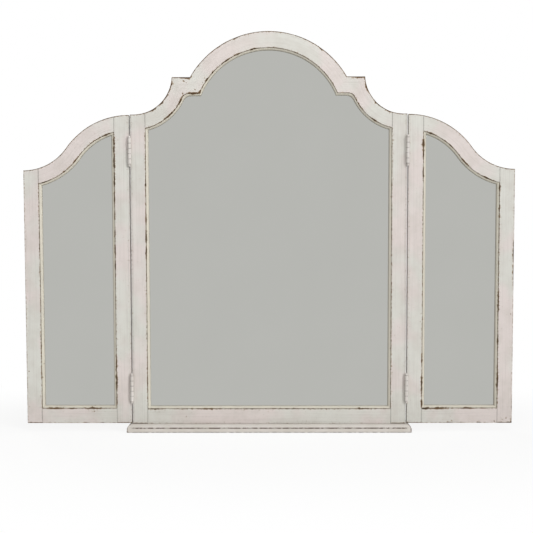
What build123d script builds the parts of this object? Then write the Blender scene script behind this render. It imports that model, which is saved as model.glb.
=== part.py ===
from build123d import *
import os
from collections import namedtuple
from math import asin, atan2, cos, pi, sin, sqrt

# Tri-fold dressing table mirror: an arched centre frame on a moulded plinth, with two hinged wings.
# Millimetres. +Z up, the glass faces -Y, the origin lies on the plinth's underside, at its middle.
# Heights of the frames are measured from the top of the plinth.

# Plinth
plinth_width = 724
plinth_depth = 90
plinth_height = 20
plinth_arris_height = 11
plinth_step = 1.5
plinth_round = 8.5

# Timber frames
frame_thickness = 22
face_setback = 22
face_width = 38
arris_chamfer = 0.7

# Centre frame outline
centre_width = 697
stile_height = 783.5
shoulder_height = 876
shoulder_half_width = 242.5
crest_height = 988.5
arch_radius = 228
cove_flat = 8

# Wing outline
hinge_gap = 3
wing_width = 268
wing_lift = 1.5
wing_inner_height = 782.5
wing_outer_height = 645
crown_share = 0.5936

# Joinery
tenon_thickness = 7
tenon_length = 22
tenon_shoulder = 6
tenon_clearance = 0.15
mortise_end_gap = 1

# Glass, the beads in front of it and the panel behind it
bead_width = 7.5
bead_depth = 9
bead_setback = 1
bead_round = 5.5
glue_gap = 0.1
glass_thickness = 4
glass_clearance = 1
rabbet_width = 8
panel_thickness = 4
panel_clearance = 0.5

# Hinges
hinge_height = 65
upper_hinge_height = 692
lower_hinge_height = 91
knuckle_count = 5
knuckle_gap = 0.3
barrel_radius = 4.25
barrel_clearance = 0.35
leaf_thickness = 1.4
leaf_depth = 19
pin_radius = 2
pin_clearance = 0.05
pin_tip_length = 5.8
pin_tip_radius = 3.4
pin_end_radius = 2
pin_collar = 1.6

# Screws
screw_radius = 1.5
screw_head_radius = 2.9
pilot_clearance = 0.05
pilot_end_gap = 0.5
hinge_screw_length = 16
hinge_screw_spacing = 21
hinge_screw_stagger = 3
panel_screw_length = 12
panel_screw_head_radius = 3
pan_head_height = 1.8
panel_screw_inset = 4
side_panel_screws = 4
arch_screw_count = 5
arch_screw_end_gap = 50
plinth_screw_length = 32
plinth_screw_radius = 2
plinth_screw_head_radius = 4
plinth_screw_sink = 4
plinth_screw_spacing = 160
plinth_screw_count = 4

# Corner braces behind the stiles
brace_width = 18
brace_thickness = 2
brace_height = 60
brace_reach = 36
brace_corner = 4
brace_screw_end_gap = 12
brace_screw_pitch = 24
brace_foot_end_gap = 6
brace_foot_pitch = 12

# Fixing holes behind the frame, for screwing the plinth down
fixing_spacing = 500
fixing_radius = 2.5
fixing_setback = 18

# Places worked out from the sizes above
plinth_front = -plinth_depth / 2
plinth_back = plinth_depth / 2
frame_front = plinth_front + face_setback
frame_back = frame_front + frame_thickness
bead_front = frame_front + bead_setback
glass_front = bead_front + bead_depth
glass_back = glass_front + glass_thickness
panel_back = glass_back + panel_thickness
tenon_front = (frame_front + glass_back - tenon_thickness) / 2
tenon_back = tenon_front + tenon_thickness
barrel_y = frame_front - barrel_clearance - barrel_radius
barrel_x = (centre_width + hinge_gap) / 2
leaf_back = frame_front + leaf_depth
knuckle_length = (hinge_height - (knuckle_count - 1) * knuckle_gap) / knuckle_count
opening = face_width
sight = face_width + bead_width
fixing_inset = face_width - panel_screw_inset

# Centre outline: arch, level shoulders and quarter hollows, and the circles they are parts of
arch_centre = Vector(0, plinth_height + crest_height - arch_radius)
cove_run = centre_width / 2 - cove_flat - shoulder_half_width
cove_rise = shoulder_height - stile_height
cove_radius = (cove_run**2 + cove_rise**2) / (2 * cove_rise)
cove_centre = Vector(centre_width / 2 - cove_flat, plinth_height + stile_height + cove_radius)

# Wing outline: a crown at the hinge side that runs into a hollow at the outer side, where the
# crown takes its share of the way across
wing_inner = centre_width / 2 + hinge_gap
wing_outer = wing_inner + wing_width
ogee_drop = wing_inner_height - wing_outer_height
ogee_radii = (wing_width**2 + ogee_drop**2) / (2 * ogee_drop)
crown_radius = crown_share * ogee_radii
hollow_radius = ogee_radii - crown_radius
crown_centre = Vector(wing_inner, plinth_height + wing_inner_height - crown_radius)
hollow_centre = Vector(wing_outer, plinth_height + wing_outer_height + hollow_radius)

# One upright side of a frame: its outer X, the way in to the glass, and its height for an inset
Side = namedtuple("Side", "name edge inward top")
# One framed glass: the function that draws its outline, its bottom, sides and top fixing points
Panel = namedtuple("Panel", "name draw bottom sides fixings")
# One screw: where its head sits, the way it points, and the length and radii of shank and head
Screw = namedtuple("Screw", "place direction length radius head")

# Ways to stand a cylinder or cone on the plane of a screw
ahead = (Align.CENTER, Align.CENTER, Align.MIN)
behind = (Align.CENTER, Align.CENTER, Align.MAX)

os.makedirs("parts", exist_ok=True)


def save(piece, name):
    """Label a finished piece and write it under its own name."""
    piece.part.label = name
    export_step(piece.part, f"parts/{name}.step")


def upright(y):
    """Plane parallel to the glass, looking out of it, at a given depth."""
    return Plane.XZ.offset(-y)


def arc_about(centre, start, end):
    """Arc from start to end about a centre, by way of the point halfway round."""
    outward = (start - centre) + (end - centre)
    ThreePointArc(start, centre + outward.normalized() * (start - centre).length, end)


# Outlines, drawn parallel to the outer edge of a frame at a distance inside it


def centre_side_top(inset):
    """Height at which the side of the centre outline runs into the hollow."""
    reach = max(0, cove_centre.X - (centre_width / 2 - inset))
    return cove_centre.Y - sqrt((cove_radius + inset) ** 2 - reach**2)


def draw_centre(inset):
    side = centre_width / 2 - inset
    bottom = plinth_height + inset
    shoulder = plinth_height + shoulder_height - inset
    arch = arch_radius - inset
    cove = cove_radius + inset
    arch_foot = Vector(sqrt(arch**2 - (shoulder - arch_centre.Y) ** 2), shoulder)
    cove_head = Vector(cove_centre.X - sqrt(cove**2 - (cove_centre.Y - shoulder) ** 2), shoulder)
    cove_foot = Vector(min(side, cove_centre.X), centre_side_top(inset))
    Line((0, bottom), (side, bottom))
    Line((side, bottom), (side, cove_foot.Y))
    if side > cove_centre.X:
        Line((side, cove_foot.Y), cove_foot)
    arc_about(cove_centre, cove_foot, cove_head)
    Line(cove_head, arch_foot)
    arc_about(arch_centre, arch_foot, arch_centre + Vector(0, arch))
    mirror(about=Plane.YZ)


def wing_inner_top(inset):
    """Height of the crown where it meets the hinge side of the wing outline."""
    return crown_centre.Y + sqrt((crown_radius - inset) ** 2 - inset**2)


def wing_outer_top(inset):
    """Height of the hollow where it meets the outer side of the wing outline."""
    return hollow_centre.Y - sqrt((hollow_radius + inset) ** 2 - inset**2)


def crown_end(inset):
    """Point where the crown runs into the hollow."""
    way = (hollow_centre - crown_centre).normalized()
    return crown_centre + way * (crown_radius - inset)


def flip(point, hand):
    """The point on the right wing, or its mirror image on the left one."""
    return Vector(hand * point.X, point.Y)


def draw_wing(inset, hand):
    bottom = plinth_height + wing_lift + inset
    inner_foot = flip(Vector(wing_inner + inset, bottom), hand)
    outer_foot = flip(Vector(wing_outer - inset, bottom), hand)
    inner_head = flip(Vector(wing_inner + inset, wing_inner_top(inset)), hand)
    outer_head = flip(Vector(wing_outer - inset, wing_outer_top(inset)), hand)
    middle = flip(crown_end(inset), hand)
    Polyline(inner_head, inner_foot, outer_foot, outer_head)
    arc_about(flip(hollow_centre, hand), outer_head, middle)
    arc_about(flip(crown_centre, hand), middle, inner_head)


def fill(panel, inset, mode=Mode.ADD):
    """Face inside a panel's outline, in the sketch that is open."""
    with BuildLine() as outline:
        panel.draw(inset)
    make_face(outline.edges(), mode=mode)


# The three framed glasses


def centre_fixings():
    """Points spread along the arch, on the strip that the back panel is screwed to."""
    radius = arch_radius - fixing_inset
    rise = plinth_height + shoulder_height - fixing_inset - arch_centre.Y
    first = asin(rise / radius) + arch_screw_end_gap / radius
    step = (pi - 2 * first) / (arch_screw_count - 1)
    turns = [first + index * step for index in range(arch_screw_count)]
    return [arch_centre + Vector(radius * cos(turn), radius * sin(turn)) for turn in turns]


def wing_fixings(hand):
    """One such point halfway round the crown of a wing and one halfway round its hollow."""
    line = hollow_centre - crown_centre
    turn = (pi / 2 + atan2(line.Y, line.X)) / 2
    way = Vector(cos(turn), sin(turn))
    on_crown = crown_centre + way * (crown_radius - fixing_inset)
    on_hollow = hollow_centre - way * (hollow_radius + fixing_inset)
    return [flip(point, hand) for point in (on_crown, on_hollow)]


half_width = centre_width / 2
centre = Panel(
    "centre",
    draw_centre,
    plinth_height,
    [Side("left", -half_width, 1, centre_side_top), Side("right", half_width, -1, centre_side_top)],
    centre_fixings(),
)


def wing(name, hand):
    """The wing on the right of the centre frame for a hand of 1, on its left for -1."""
    return Panel(
        name,
        lambda inset: draw_wing(inset, hand),
        plinth_height + wing_lift,
        [
            Side("inner", hand * wing_inner, hand, wing_inner_top),
            Side("outer", hand * wing_outer, -hand, wing_outer_top),
        ],
        wing_fixings(hand),
    )


left_wing = wing("left_wing", -1)
right_wing = wing("right_wing", 1)
panels = [centre, left_wing, right_wing]


# Screws


def short_screw(place, direction):
    """The pan-head screw used for the back panels and the braces."""
    return Screw(place, direction, panel_screw_length, screw_radius, panel_screw_head_radius)


def hinge_screws(hand, leaf, height):
    """Three staggered screws through one leaf, into the edge of its stile."""
    surface = hand * (barrel_x + leaf * (hinge_gap / 2 - leaf_thickness))
    middle = (frame_front + leaf_back) / 2
    into_stile = Vector(hand * leaf, 0, 0)
    screws = []
    for step in (-1, 0, 1):
        y = middle + hinge_screw_stagger * (1 - 2 * abs(step))
        place = Vector(surface, y, plinth_height + height + step * hinge_screw_spacing)
        screws.append(Screw(place, into_stile, hinge_screw_length, screw_radius, screw_head_radius))
    return screws


def panel_screws(panel):
    """Pan-head screws round the edge of a back panel, into the strip in front of it."""
    points = list(panel.fixings)
    for side in panel.sides:
        x = side.edge + side.inward * fixing_inset
        low = panel.bottom + face_width + rabbet_width
        high = side.top(face_width) - rabbet_width
        for step in range(side_panel_screws):
            points.append(Vector(x, low + (high - low) * step / (side_panel_screws - 1)))
    middle = (panel.sides[0].edge + panel.sides[1].edge) / 2
    points.append(Vector(middle, panel.bottom + fixing_inset))
    return [short_screw(Vector(p.X, panel_back, p.Y), Vector(0, -1, 0)) for p in points]


def brace_screws_on(side):
    """Two screws into the back of a stile, and two down into the plinth."""
    x = side.edge + side.inward * face_width / 2
    screws = []
    for step in (0, 1):
        up = brace_height - brace_screw_end_gap - step * brace_screw_pitch
        out = brace_reach - brace_foot_end_gap - step * brace_foot_pitch
        back = Vector(x, frame_back + brace_thickness, plinth_height + up)
        down = Vector(x, frame_back + out, plinth_height + brace_thickness)
        screws.append(short_screw(back, Vector(0, -1, 0)))
        screws.append(short_screw(down, Vector(0, 0, -1)))
    return screws


def plinth_screws_under(rail_y):
    """A row of screws up through the plinth into the bottom rail, their heads sunk in."""
    first = -(plinth_screw_count - 1) * plinth_screw_spacing / 2
    screws = []
    for index in range(plinth_screw_count):
        place = Vector(first + index * plinth_screw_spacing, rail_y, plinth_screw_sink)
        upward = Vector(0, 0, 1)
        screws.append(
            Screw(place, upward, plinth_screw_length, plinth_screw_radius, plinth_screw_head_radius)
        )
    return screws


def screw_plane(screw):
    return Plane(origin=screw.place, z_dir=screw.direction)


def flush_screws(screws):
    """Countersunk screws, whose flat heads lie level with the surface."""
    with BuildPart() as group:
        for screw in screws:
            with Locations(screw_plane(screw)):
                Cone(screw.head, screw.radius, screw.head - screw.radius, align=ahead)
                Cylinder(screw.radius, screw.length, align=ahead)
    return group


def pan_screws(screws):
    """Screws whose round heads stand on the surface."""
    with BuildPart() as group:
        for screw in screws:
            with Locations(screw_plane(screw)):
                Cylinder(screw.radius, screw.length, align=ahead)
                Cylinder(screw.head, pan_head_height, align=behind)
    return group


def drill(screws):
    """Pilot holes for screws, in the piece that is open."""
    for screw in screws:
        with Locations(screw_plane(screw)):
            Cylinder(
                screw.radius + pilot_clearance,
                screw.length + pilot_end_gap,
                align=ahead,
                mode=Mode.SUBTRACT,
            )


# Frame members


def cut_rabbet(panel):
    """Recess behind the opening that the back panel lies in."""
    with BuildSketch(upright(frame_back)) as recess:
        fill(panel, face_width - rabbet_width)
    extrude(recess.sketch, amount=frame_back - glass_back, mode=Mode.SUBTRACT)


def tenon_heights(panel, side):
    """Bottom and top of the lower and the upper tenon at one side of a frame."""
    height = face_width - 2 * tenon_shoulder
    low = panel.bottom + tenon_shoulder
    high = side.top(face_width) + tenon_shoulder
    return (low, low + height), (high, high + height)


def tenon_block(side, heights, grow, mode):
    """A tenon that a rail leaves in a stile, or, a little larger, the mortise for it."""
    length = tenon_length + (mortise_end_gap if grow else 0)
    x = side.edge + side.inward * (face_width - length / 2)
    bottom, top = heights
    with BuildSketch(upright(tenon_back + grow)) as end:
        with Locations((x, (bottom + top) / 2)):
            Rectangle(length, top - bottom + 2 * grow)
    extrude(end.sketch, amount=tenon_thickness + 2 * grow, mode=mode)


def make_stile(panel, side, screws):
    low, high = tenon_heights(panel, side)
    height = plinth_height + crest_height
    with BuildPart() as stile:
        with BuildSketch(upright(frame_back)):
            fill(panel, 0)
            with Locations((side.edge + side.inward * face_width / 2, height / 2)):
                Rectangle(face_width, height, mode=Mode.INTERSECT)
        extrude(amount=frame_thickness)
        chamfer(faces().sort_by(Axis.Y)[0].edges(), arris_chamfer)
        cut_rabbet(panel)
        tenon_block(side, low, tenon_clearance, Mode.SUBTRACT)
        tenon_block(side, high, tenon_clearance, Mode.SUBTRACT)
        drill(screws)
    return stile


def make_rail(panel, top, screws):
    """The top or the bottom rail, with a tenon at each end."""
    left, right = sorted(side.edge + side.inward * face_width for side in panel.sides)
    split_height = panel.bottom + 2 * face_width
    height = plinth_height + crest_height
    low, high = (split_height, height) if top else (0, split_height)
    with BuildPart() as rail:
        with BuildSketch(upright(frame_back)):
            fill(panel, 0)
            fill(panel, opening, Mode.SUBTRACT)
            with Locations(((left + right) / 2, (low + high) / 2)):
                Rectangle(right - left, high - low, mode=Mode.INTERSECT)
        extrude(amount=frame_thickness)
        face_edges = faces().sort_by(Axis.Y)[0].edges()
        chamfer(face_edges.filter_by(Axis.Z, reverse=True), arris_chamfer)
        cut_rabbet(panel)
        for side in panel.sides:
            heights = tenon_heights(panel, side)
            tenon_block(side, heights[1] if top else heights[0], 0, Mode.ADD)
        drill(screws)
    return rail


# Beads, glass and back panel


def mitre(panel, side, top):
    """Inner and outer end of the mitre at one corner, drawn out past the bead both ways."""
    ends = []
    for inset in (sight, opening):
        z = side.top(inset) if top else panel.bottom + inset
        ends.append(Vector(side.edge + side.inward * inset, z))
    inner, outer = ends
    return inner + (inner - outer) / 2, outer + (outer - inner) / 2


def make_bead(panel, corners):
    """The part of the moulding round the glass that lies inside the given corners."""
    with BuildSketch(upright(bead_front)) as seen:
        fill(panel, sight)
    sight_line = seen.sketch.face().outer_wire()
    with BuildPart() as bead:
        with BuildSketch(upright(glass_front)):
            fill(panel, opening + glue_gap)
            fill(panel, sight, Mode.SUBTRACT)
        extrude(amount=bead_depth)
        with BuildSketch(upright(glass_front + bead_depth)):
            with BuildLine():
                Polyline(*corners, close=True)
            make_face()
        extrude(amount=3 * bead_depth, mode=Mode.INTERSECT)
        on_line = [edge for edge in edges() if sight_line.distance_to(edge @ 0.5) < glue_gap]
        fillet(on_line, bead_round)
    return bead


def side_bead(panel, side):
    low_inner, low_outer = mitre(panel, side, False)
    high_inner, high_outer = mitre(panel, side, True)
    return make_bead(panel, [low_inner, low_outer, high_outer, high_inner])


def bottom_bead(panel):
    first, second = (mitre(panel, side, False) for side in panel.sides)
    return make_bead(panel, [first[0], first[1], second[1], second[0]])


def top_bead(panel):
    first, second = (mitre(panel, side, True) for side in panel.sides)
    height = plinth_height + crest_height
    over_first = Vector(first[1].X, height)
    over_second = Vector(second[1].X, height)
    low_middle = Vector((first[1].X + second[1].X) / 2, panel.bottom + 2 * sight)
    around = [first[0], first[1], over_first, over_second, second[1], second[0], low_middle]
    return make_bead(panel, around)


def make_glass(panel):
    with BuildPart() as glass:
        with BuildSketch(upright(glass_back)):
            fill(panel, opening + glass_clearance)
        extrude(amount=glass_thickness)
    return glass


def make_back_panel(panel, screws):
    with BuildPart() as board:
        with BuildSketch(upright(panel_back)):
            fill(panel, face_width - rabbet_width + panel_clearance)
        extrude(amount=panel_thickness)
        drill(screws)
    return board


# Hinges


def knuckle_spans(first):
    """Bottom of every other knuckle, from the first one, above the foot of the hinge."""
    pitch = knuckle_length + knuckle_gap
    return [index * pitch for index in range(first, knuckle_count, 2)]


def make_leaf(hand, leaf, height, screws):
    """Leaf on the stile of the centre frame for a leaf of -1, on that of the wing for 1."""
    foot = plinth_height + height - hinge_height / 2
    x = hand * (barrel_x + leaf * (hinge_gap / 2 - leaf_thickness / 2))
    with BuildPart() as plate:
        with BuildSketch(Plane.XY.offset(foot)):
            with Locations((x, (frame_front + leaf_back) / 2)):
                Rectangle(leaf_thickness, leaf_depth)
        extrude(amount=hinge_height)
        for span in knuckle_spans(0 if leaf < 0 else 1):
            with BuildSketch(Plane.XY.offset(foot + span)):
                with Locations((hand * barrel_x, barrel_y)):
                    Circle(barrel_radius)
                with Locations((x, (barrel_y + frame_front) / 2)):
                    Rectangle(leaf_thickness, frame_front - barrel_y)
            extrude(amount=knuckle_length)
        with Locations((hand * barrel_x, barrel_y, foot)):
            bore = pin_radius + pin_clearance
            Cylinder(bore, hinge_height, align=ahead, mode=Mode.SUBTRACT)
        for screw in screws:
            with Locations(screw_plane(screw)):
                Cone(
                    screw.head + pilot_clearance,
                    screw.radius + pilot_clearance,
                    screw.head - screw.radius,
                    align=ahead,
                    mode=Mode.SUBTRACT,
                )
    return plate


def make_pin(hand, height):
    """Hinge pin with a turned tip above and below the barrel."""
    shoulder = hinge_height / 2 + knuckle_gap
    collar = shoulder + pin_collar
    end = shoulder + pin_tip_length
    middle = (hand * barrel_x, barrel_y, plinth_height + height)
    with BuildPart() as pin:
        with BuildSketch(Plane(origin=middle, x_dir=(1, 0, 0), z_dir=(0, -1, 0))):
            with BuildLine():
                Polyline(
                    (0, -end),
                    (0, end),
                    (pin_end_radius, end),
                    (pin_tip_radius, collar),
                    (pin_tip_radius, shoulder),
                    (pin_radius, shoulder),
                    (pin_radius, -shoulder),
                    (pin_tip_radius, -shoulder),
                    (pin_tip_radius, -collar),
                    (pin_end_radius, -end),
                    close=True,
                )
            make_face()
        revolve(axis=Axis(middle, (0, 0, 1)))
        fillet(edges().group_by(Axis.Z)[-1], pin_end_radius / 2)
        fillet(edges().group_by(Axis.Z)[0], pin_end_radius / 2)
    return pin


# Plinth and braces


def make_plinth(rail_screws, screws):
    with BuildPart() as plinth:
        with BuildSketch(Plane.XY):
            Rectangle(plinth_width, plinth_depth)
        extrude(amount=plinth_arris_height)
        with BuildSketch(Plane.XY.offset(plinth_arris_height)):
            with Locations((0, plinth_step / 2)):
                Rectangle(plinth_width - 2 * plinth_step, plinth_depth - plinth_step)
        extrude(amount=plinth_height - plinth_arris_height)
        top_edges = faces().sort_by(Axis.Z)[-1].edges().sort_by(Axis.Y)
        fillet(top_edges[:-1], plinth_round)
        with BuildSketch(Plane.XY):
            with Locations((0, plinth_back - fixing_setback)):
                with GridLocations(fixing_spacing, 0, 2, 1):
                    Circle(fixing_radius)
        extrude(amount=plinth_height, mode=Mode.SUBTRACT)
        drill(screws)
        for screw in rail_screws:
            with Locations(screw_plane(screw)):
                sink = screw.head + pilot_clearance
                Cylinder(sink, plinth_screw_sink, align=behind, mode=Mode.SUBTRACT)
    return plinth


def make_brace(side, screws):
    x = side.edge + side.inward * face_width / 2
    with BuildPart() as brace:
        with BuildSketch(Plane.YZ.offset(x)):
            with BuildLine():
                Polyline(
                    (frame_back, plinth_height),
                    (frame_back + brace_reach, plinth_height),
                    (frame_back + brace_reach, plinth_height + brace_thickness),
                    (frame_back + brace_thickness, plinth_height + brace_thickness),
                    (frame_back + brace_thickness, plinth_height + brace_height),
                    (frame_back, plinth_height + brace_height),
                    close=True,
                )
            make_face()
        extrude(amount=brace_width / 2, both=True)
        fillet(edges().filter_by(Axis.Y).group_by(Axis.Z)[-1], brace_corner)
        fillet(edges().filter_by(Axis.Z).group_by(Axis.Y)[-1], brace_corner)
        drill(screws)
    return brace


hinge_heights = {"upper": upper_hinge_height, "lower": lower_hinge_height}
rail_screws = plinth_screws_under((frame_front + frame_back) / 2)
all_fixed_leaf_screws = []
all_brace_screws = []

# Hinges and braces, and the stiles that they are screwed to
stile_screws = {}
for hand, side, wing_panel in ((-1, centre.sides[0], left_wing), (1, centre.sides[1], right_wing)):
    moving_leaf_screws = []
    fixed_leaf_screws = []
    for level, height in hinge_heights.items():
        fixed = hinge_screws(hand, -1, height)
        moving = hinge_screws(hand, 1, height)
        save(make_leaf(hand, -1, height, fixed), f"{side.name}_{level}_fixed_leaf")
        save(make_leaf(hand, 1, height, moving), f"{side.name}_{level}_moving_leaf")
        save(make_pin(hand, height), f"{side.name}_{level}_hinge_pin")
        fixed_leaf_screws += fixed
        moving_leaf_screws += moving
    save(flush_screws(moving_leaf_screws), f"{side.name}_moving_leaf_screws")
    brace_screws = brace_screws_on(side)
    save(make_brace(side, brace_screws), f"{side.name}_corner_brace")
    stile_screws["centre", side.name] = fixed_leaf_screws + brace_screws
    stile_screws[wing_panel.name, "inner"] = moving_leaf_screws
    all_fixed_leaf_screws += fixed_leaf_screws
    all_brace_screws += brace_screws

save(flush_screws(all_fixed_leaf_screws), "fixed_leaf_screws")
save(pan_screws(all_brace_screws), "brace_screws")
save(pan_screws(rail_screws), "plinth_screws")
save(make_plinth(rail_screws, rail_screws + all_brace_screws), "base_plinth")

# Frames, beads, glass and backs
for panel in panels:
    board_screws = panel_screws(panel)
    for side in panel.sides:
        screws = board_screws + stile_screws.get((panel.name, side.name), [])
        save(make_stile(panel, side, screws), f"{panel.name}_{side.name}_stile")
        save(side_bead(panel, side), f"{panel.name}_{side.name}_bead")
    top_name = "crest_rail" if panel is centre else "top_rail"
    low_screws = board_screws + (rail_screws if panel is centre else [])
    save(make_rail(panel, True, board_screws), f"{panel.name}_{top_name}")
    save(make_rail(panel, False, low_screws), f"{panel.name}_bottom_rail")
    save(top_bead(panel), f"{panel.name}_top_bead")
    save(bottom_bead(panel), f"{panel.name}_bottom_bead")
    save(make_glass(panel), f"{panel.name}_mirror_glass")
    save(make_back_panel(panel, board_screws), f"{panel.name}_back_panel")
    save(pan_screws(board_screws), f"{panel.name}_back_panel_screws")
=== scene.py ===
import math

import bpy
import numpy as np
from mathutils import Matrix, Vector


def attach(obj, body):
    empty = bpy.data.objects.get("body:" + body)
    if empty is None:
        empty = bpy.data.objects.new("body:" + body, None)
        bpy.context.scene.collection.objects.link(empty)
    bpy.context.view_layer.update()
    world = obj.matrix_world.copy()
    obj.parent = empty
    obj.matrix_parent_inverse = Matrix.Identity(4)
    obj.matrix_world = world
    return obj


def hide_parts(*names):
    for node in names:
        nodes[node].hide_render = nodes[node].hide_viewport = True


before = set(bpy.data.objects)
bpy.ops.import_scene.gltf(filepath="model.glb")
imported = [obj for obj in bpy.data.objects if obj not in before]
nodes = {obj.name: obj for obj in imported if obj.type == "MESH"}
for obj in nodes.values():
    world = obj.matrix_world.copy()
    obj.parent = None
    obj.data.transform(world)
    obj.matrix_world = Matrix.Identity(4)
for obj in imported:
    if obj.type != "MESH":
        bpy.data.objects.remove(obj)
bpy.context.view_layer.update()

# Dressing table mirror with two hinged wings: worn white paint over brown wood.
# Sizes are millimetres until a mesh is made. +Z up, the glass faces -Y.

# Frames, as the solids have them
PLINTH_TOP = 20
FRONT = -23
BACK = -1
GLASS_FRONT = -13
GLASS_BACK = -9
FACE = 38
RABBET = 30
HALF_WIDTH = 348.5
STILE_TOP = PLINTH_TOP + 783.5
SHOULDER = PLINTH_TOP + 876
SHOULDER_HALF = 242.5
ARCH_TOP = PLINTH_TOP + 988.5
ARCH_R = 228
ARCH_Z = ARCH_TOP - ARCH_R
# A centre stile's top is level for this far, then the hollow begins
STILE_LEVEL = 8
COVE_X = HALF_WIDTH - STILE_LEVEL
COVE_RUN = COVE_X - SHOULDER_HALF
COVE_RISE = SHOULDER - STILE_TOP
COVE_R = (COVE_RUN**2 + COVE_RISE**2) / (2 * COVE_RISE)
COVE_Z = STILE_TOP + COVE_R

WING_BOTTOM = PLINTH_TOP + 1.5
WING_IN = HALF_WIDTH + 3
WING_WIDTH = 268
WING_OUT = WING_IN + WING_WIDTH
WING_TOP = PLINTH_TOP + 782.5
WING_OUTER_TOP = PLINTH_TOP + 645
# The top of a wing is a crown that runs into a hollow. Both radii together follow from the drop
OGEE_DROP = WING_TOP - WING_OUTER_TOP
OGEE_RADII = (WING_WIDTH**2 + OGEE_DROP**2) / (2 * OGEE_DROP)
CROWN_SHARE = 0.5936
CROWN_R = CROWN_SHARE * OGEE_RADII
CROWN_Z = WING_TOP - CROWN_R
HOLLOW_R = OGEE_RADII - CROWN_R
HOLLOW_Z = WING_OUTER_TOP + HOLLOW_R
OGEE_TURN = math.atan2(WING_WIDTH, HOLLOW_Z - CROWN_Z)

# Moulding round each glass
BEAD_IN = FACE + 0.1
SIGHT = FACE + 7.5

# Rows along a piece, radii of a fresh and of a rubbed arris
PITCH = 2.0
ARRIS = 0.8
WORN_ARRIS = 2.2
ARRIS_STEPS = np.radians([0, 30, 60, 90])
# Edges turned by more than this stay crisp
CRISP = math.radians(42)
# How far the face dips at a joint that has opened a hair
SEAM_DIP = 0.35
# Height below a stile's top in which its rows bend to the outline, and the part that bends
TOP_ZONE = 60
TOP_BEND = 56
# Distances that put an edge out of reach of any wear: one that is covered, and one that is absent
COVERED = 20
ABSENT = 99.0

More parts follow.
